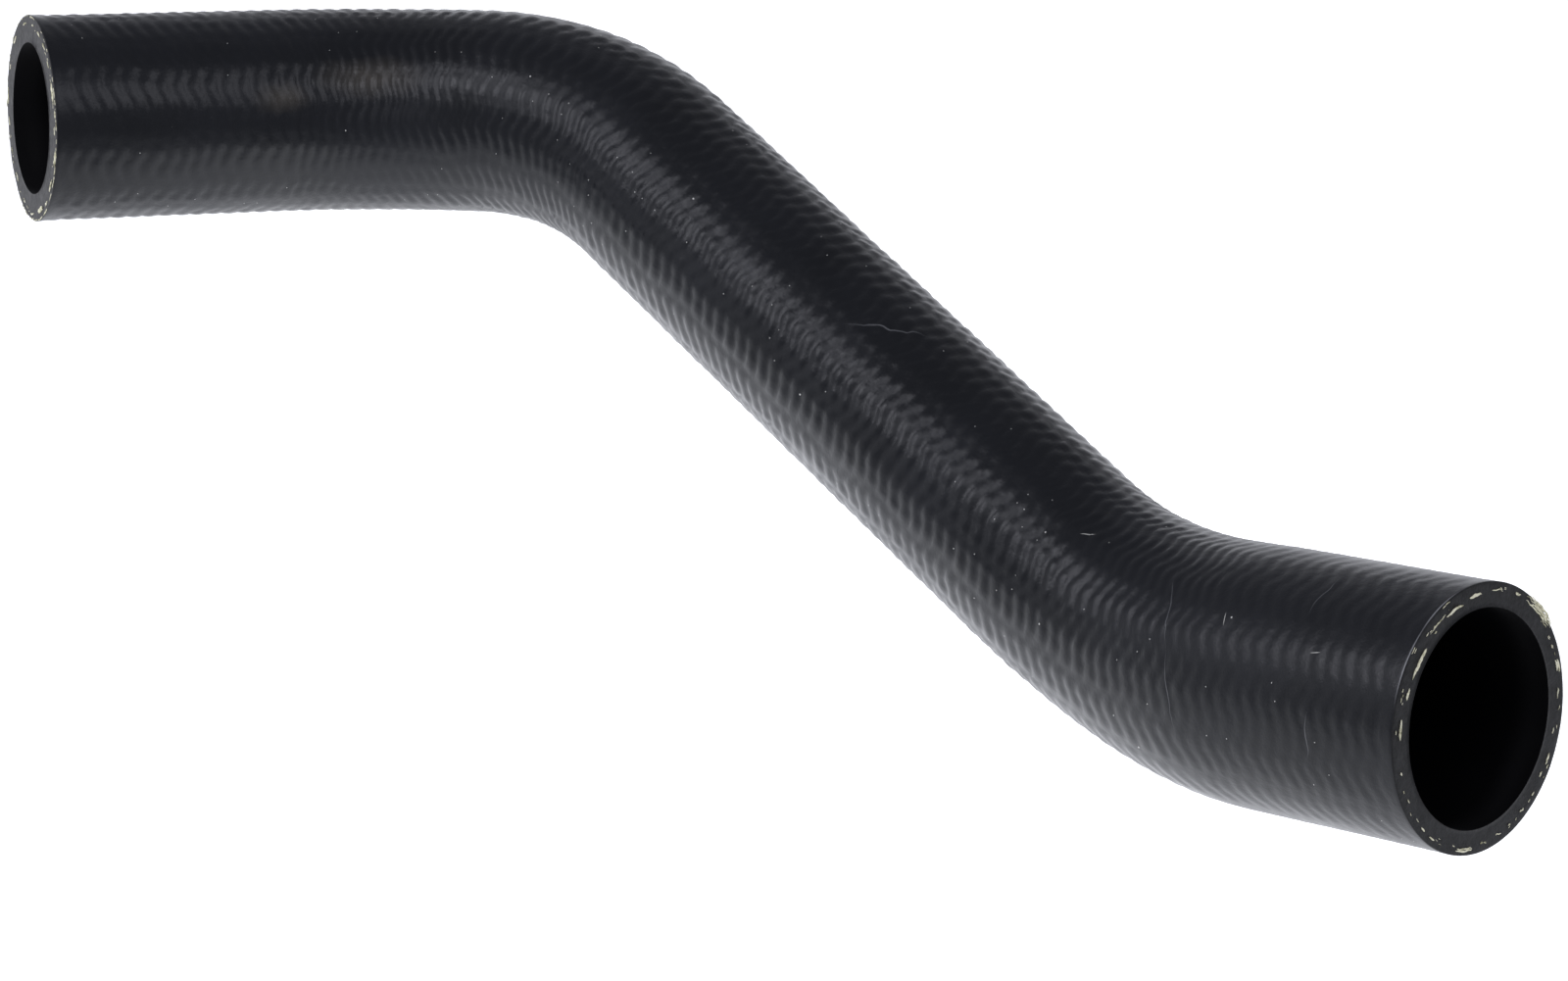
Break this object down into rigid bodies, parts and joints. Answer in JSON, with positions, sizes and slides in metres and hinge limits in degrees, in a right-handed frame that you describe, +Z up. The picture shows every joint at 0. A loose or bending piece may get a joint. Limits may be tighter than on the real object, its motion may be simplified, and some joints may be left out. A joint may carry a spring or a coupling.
{
  "type": "fuel filler hose",
  "caption": "Moulded rubber hose bent in space, with a narrow filler end and a wider tank end, that carries fuel from the filler neck to the tank.",
  "frame": {"origin": "middle of the bottom of the hose's box, on the surface that the hose lies on", "axes": "+Z up as the hose lies at rest, +X along its longest extent from the filler end to the tank end, +Y away from the side where both ends lie"},
  "size_m": [0.3548, 0.1126, 0.0759],
  "materials": {
    "moulded_rubber": "satin black fuel-resistant rubber with the faint rings of its knitted reinforcement"
  },
  "bodies": {
    "root": {"filler_hose": "moulded_rubber"}
  },
  "joints": []
}
